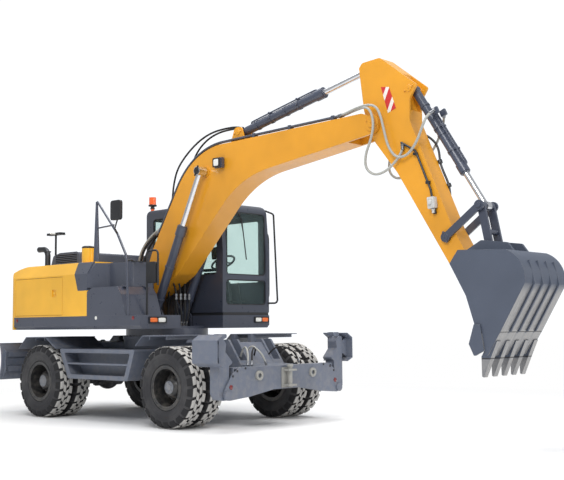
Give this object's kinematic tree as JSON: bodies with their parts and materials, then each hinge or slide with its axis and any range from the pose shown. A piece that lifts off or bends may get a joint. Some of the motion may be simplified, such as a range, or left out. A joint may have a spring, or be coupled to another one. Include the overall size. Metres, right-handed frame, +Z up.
{
  "type": "wheeled excavator",
  "caption": "Wheeled excavator: two-axle carrier with twin tyres, rear dozer blade and front stabilisers, slewing upper with cab, boom, arm and bucket.",
  "frame": {"origin": "on the ground under the middle of the machine's length as it stands, on the carrier's centre line", "axes": "+X forward towards the bucket, +Y to the left (the cab's side), +Z up"},
  "size_m": [8.686, 2.65, 4.4935],
  "materials": {
    "beacon_lens": "amber lens",
    "boom_paint": "sprayed orange-yellow, satin",
    "bucket_paint": "slate grey, matt",
    "cab_paint": "dark slate, satin",
    "cab_pane": "tinted safety glass",
    "carrier_paint": "slate grey, satin",
    "cast_grey": "cast, painted dark",
    "control_plastic": "grained dark plastic",
    "cylinder_paint": "dark slate, satin",
    "hood_paint": "sprayed warm yellow, satin",
    "lamp_lens": "orange and clear lens",
    "mirror_shell": "dark plastic",
    "rim_paint": "black, satin",
    "rod_chrome": "hard chrome",
    "seat_cloth": "dark woven cloth",
    "slate_paint": "dark slate, satin",
    "stack_steel": "dark steel tube",
    "tyre_rubber": "matt black rubber"
  },
  "bodies": {
    "carrier": {"chassis_frame": "carrier_paint", "fenders": "carrier_paint", "side_boxes": "carrier_paint", "front_axle": "cast_grey", "rear_axle": "cast_grey", "stabiliser_beam": "carrier_paint", "tow_hitch": "carrier_paint"},
    "knuckle_right": {"knuckle_right": "cast_grey"},
    "knuckle_left": {"knuckle_left": "cast_grey"},
    "wheels_front_right": {"tyres_front_right": "tyre_rubber", "rims_front_right": "rim_paint"},
    "wheels_front_left": {"tyres_front_left": "tyre_rubber", "rims_front_left": "rim_paint"},
    "wheels_rear_right": {"tyres_rear_right": "tyre_rubber", "rims_rear_right": "rim_paint"},
    "wheels_rear_left": {"tyres_rear_left": "tyre_rubber", "rims_rear_left": "rim_paint"},
    "leg_right": {"stabiliser_leg_right": "carrier_paint"},
    "leg_left": {"stabiliser_leg_left": "carrier_paint"},
    "blade_arms": {"blade_arm": "carrier_paint"},
    "blade_links": {"blade_link": "carrier_paint"},
    "dozer_blade": {"blade": "carrier_paint"},
    "blade_barrel": {"blade_cylinder_barrel": "cylinder_paint"},
    "blade_rod": {"blade_cylinder_rod": "rod_chrome"},
    "upper": {"platform": "slate_paint", "front_lamps": "lamp_lens", "house": "hood_paint", "engine_block": "cast_grey", "counterweight": "hood_paint", "fuel_tank": "slate_paint", "tool_box": "slate_paint", "cab_shell": "cab_paint", "cab_glass": "cab_pane", "seat": "seat_cloth", "cab_controls": "control_plastic", "exhaust": "stack_steel", "precleaner": "hood_paint", "handrail": "slate_paint", "mirrors": "mirror_shell", "beacon": "beacon_lens", "work_lamp": "mirror_shell"},
    "door_cab": {"cab_door": "cab_paint", "cab_door_glass": "cab_pane"},
    "door_right": {"engine_door_right": "hood_paint"},
    "door_left": {"engine_door_left": "hood_paint"},
    "cowl_lid": {"engine_cowl": "slate_paint"},
    "box_lid": {"tool_box_lid": "slate_paint"},
    "boom_body": {"boom": "boom_paint", "boom_fittings": "cylinder_paint"},
    "boom_barrels": {"boom_cylinder_barrels": "cylinder_paint"},
    "boom_rods": {"boom_cylinder_rods": "rod_chrome"},
    "arm_body": {"arm": "boom_paint", "arm_fittings": "cylinder_paint"},
    "arm_barrel": {"arm_cylinder_barrel": "cylinder_paint"},
    "arm_rod": {"arm_cylinder_rod": "rod_chrome"},
    "bucket_body": {"bucket": "bucket_paint"},
    "guides": {"guide_links": "bucket_paint"},
    "link": {"bucket_link": "bucket_paint"},
    "bucket_barrel": {"bucket_cylinder_barrel": "cylinder_paint"},
    "bucket_rod": {"bucket_cylinder_rod": "rod_chrome"}
  },
  "joints": [
    {"name": "steer_right", "type": "hinge", "parent": "carrier", "child": "knuckle_right", "pos_m": [-0.417, -0.66, 0.525], "axis": [0, 0, 1], "range_deg": [-25, 25]},
    {"name": "roll_front_right", "type": "hinge", "parent": "knuckle_right", "child": "wheels_front_right", "pos_m": [-0.417, -1.1375, 0.525], "axis": [0, 1, 0], "continuous": true},
    {"name": "roll_rear_right", "type": "hinge", "parent": "carrier", "child": "wheels_rear_right", "pos_m": [-3.217, -1.1375, 0.525], "axis": [0, 1, 0], "continuous": true},
    {"name": "stabiliser_right", "type": "hinge", "parent": "carrier", "child": "leg_right", "pos_m": [0.4305, -1.08, 0.45], "axis": [1, 0, 0], "range_deg": [0, 110]},
    {"name": "steer_left", "type": "hinge", "parent": "carrier", "child": "knuckle_left", "pos_m": [-0.417, 0.66, 0.525], "axis": [0, 0, 1], "range_deg": [-25, 25]},
    {"name": "roll_front_left", "type": "hinge", "parent": "knuckle_left", "child": "wheels_front_left", "pos_m": [-0.417, 1.1375, 0.525], "axis": [0, 1, 0], "continuous": true},
    {"name": "roll_rear_left", "type": "hinge", "parent": "carrier", "child": "wheels_rear_left", "pos_m": [-3.217, 1.1375, 0.525], "axis": [0, 1, 0], "continuous": true},
    {"name": "stabiliser_left", "type": "hinge", "parent": "carrier", "child": "leg_left", "pos_m": [0.4305, 1.08, 0.45], "axis": [-1, 0, 0], "range_deg": [0, 110]},
    {"name": "blade_lift", "type": "hinge", "parent": "carrier", "child": "blade_arms", "pos_m": [-3.797, 0, 0.428], "axis": [0, -1, 0], "range_deg": [0, 78.6]},
    {"name": "blade_tilt", "type": "hinge", "parent": "blade_arms", "child": "dozer_blade", "pos_m": [-4.12975, 0, 0.70035], "axis": [0, -1, 0], "range_deg": [-78.61, 0]},
    {"name": "blade_upper_link", "type": "hinge", "parent": "carrier", "child": "blade_links", "pos_m": [-3.797, 0, 0.678], "axis": [0, -1, 0], "range_deg": [0, 78.61]},
    {"name": "blade_barrel_swing", "type": "hinge", "parent": "carrier", "child": "blade_barrel", "pos_m": [-3.467, 0, 1.05], "axis": [0, -1, 0], "range_deg": [0, 18.21]},
    {"name": "blade_rod_slide", "type": "slide", "parent": "blade_barrel", "child": "blade_rod", "axis": [-0.8198, 0, -0.5726], "range_m": [0, 0.34788]},
    {"name": "slew", "type": "hinge", "parent": "carrier", "child": "upper", "pos_m": [-1.817, 0, 1.17], "axis": [0, 0, 1], "continuous": true},
    {"name": "boom_lift", "type": "hinge", "parent": "upper", "child": "boom_body", "pos_m": [-1.917, -0.12, 1.86], "axis": [0, -1, 0], "range_deg": [-50, 15]},
    {"name": "boom_barrels_swing", "type": "hinge", "parent": "upper", "child": "boom_barrels", "pos_m": [-1.647, -0.12, 1.43], "axis": [0, -1, 0], "range_deg": [-47.04, 14.12]},
    {"name": "boom_rods_slide", "type": "slide", "parent": "boom_barrels", "child": "boom_rods", "axis": [0.4382, 0, 0.8989], "range_m": [-0.3989, 0.11974]},
    {"name": "arm_swing", "type": "hinge", "parent": "boom_body", "child": "arm_body", "pos_m": [2.218, -0.12, 3.71], "axis": [0, 1, 0], "range_deg": [-40, 50]},
    {"name": "arm_barrel_swing", "type": "hinge", "parent": "boom_body", "child": "arm_barrel", "pos_m": [-0.117, -0.12, 3.935], "axis": [0, -1, 0], "range_deg": [-1.75, 1.4]},
    {"name": "arm_rod_slide", "type": "slide", "parent": "arm_barrel", "child": "arm_rod", "axis": [0.9767, 0, 0.2148], "range_m": [-0.47007, 0.58756]},
    {"name": "bucket_curl", "type": "hinge", "parent": "arm_body", "child": "bucket_body", "pos_m": [3.383, -0.12, 1.94], "axis": [0, 1, 0], "range_deg": [-40, 95]},
    {"name": "guide_links_swing", "type": "hinge", "parent": "arm_body", "child": "guides", "pos_m": [3.203, -0.12, 2.272], "axis": [0, 1, 0], "range_deg": [-28.57, 67.84]},
    {"name": "bucket_link_swing", "type": "hinge", "parent": "bucket_body", "child": "link", "pos_m": [3.733, -0.12, 2.14], "axis": [0, 1, 0], "range_deg": [-73.16, 30.81]},
    {"name": "bucket_barrel_swing", "type": "hinge", "parent": "arm_body", "child": "bucket_barrel", "pos_m": [2.731, -0.12, 4.052], "axis": [0, -1, 0], "range_deg": [-4.6, 1.94]},
    {"name": "bucket_rod_slide", "type": "slide", "parent": "bucket_barrel", "child": "bucket_rod", "axis": [0.5297, 0, -0.8482], "range_m": [-0.26879, 0.63824]},
    {"name": "cab_door_swing", "type": "hinge", "parent": "upper", "child": "door_cab", "pos_m": [-1.911, 1.262, 2.2], "axis": [0, 0, 1], "range_deg": [0, 150]},
    {"name": "engine_door_right_swing", "type": "hinge", "parent": "upper", "child": "door_right", "pos_m": [-3.871, -1.25, 1.7475], "axis": [0, 0, -1], "range_deg": [0, 100]},
    {"name": "engine_door_left_swing", "type": "hinge", "parent": "upper", "child": "door_left", "pos_m": [-3.871, 1.25, 1.7475], "axis": [0, 0, 1], "range_deg": [0, 100]},
    {"name": "engine_cowl_lift", "type": "hinge", "parent": "upper", "child": "cowl_lid", "pos_m": [-3.092, 0.562, 2.2423], "axis": [-1, 0, 0], "range_deg": [0, 75]},
    {"name": "tool_box_lid_lift", "type": "hinge", "parent": "upper", "child": "box_lid", "pos_m": [-1.43, -0.935, 1.8653], "axis": [0, -1, 0], "range_deg": [0, 80]}
  ],
  "couplings": [
    {"joint": "steer_left", "follows": "steer_right", "ratio": 1},
    {"joint": "blade_tilt", "follows": "blade_lift", "ratio": -1},
    {"joint": "blade_upper_link", "follows": "blade_lift", "ratio": 1},
    {"joint": "blade_barrel_swing", "follows": "blade_lift", "ratio": 0.23159},
    {"joint": "blade_rod_slide", "follows": "blade_lift", "m_per_rad": 0.25352},
    {"joint": "boom_barrels_swing", "follows": "boom_lift", "ratio": 0.94057},
    {"joint": "boom_rods_slide", "follows": "boom_lift", "m_per_rad": 0.45699},
    {"joint": "arm_barrel_swing", "follows": "arm_swing", "ratio": -0.034756},
    {"joint": "arm_rod_slide", "follows": "arm_swing", "m_per_rad": 0.67318},
    {"joint": "guide_links_swing", "follows": "bucket_curl", "ratio": 0.71405},
    {"joint": "bucket_link_swing", "follows": "bucket_curl", "ratio": -0.77002},
    {"joint": "bucket_barrel_swing", "follows": "bucket_curl", "ratio": -0.048354},
    {"joint": "bucket_rod_slide", "follows": "bucket_curl", "m_per_rad": 0.38487}
  ]
}
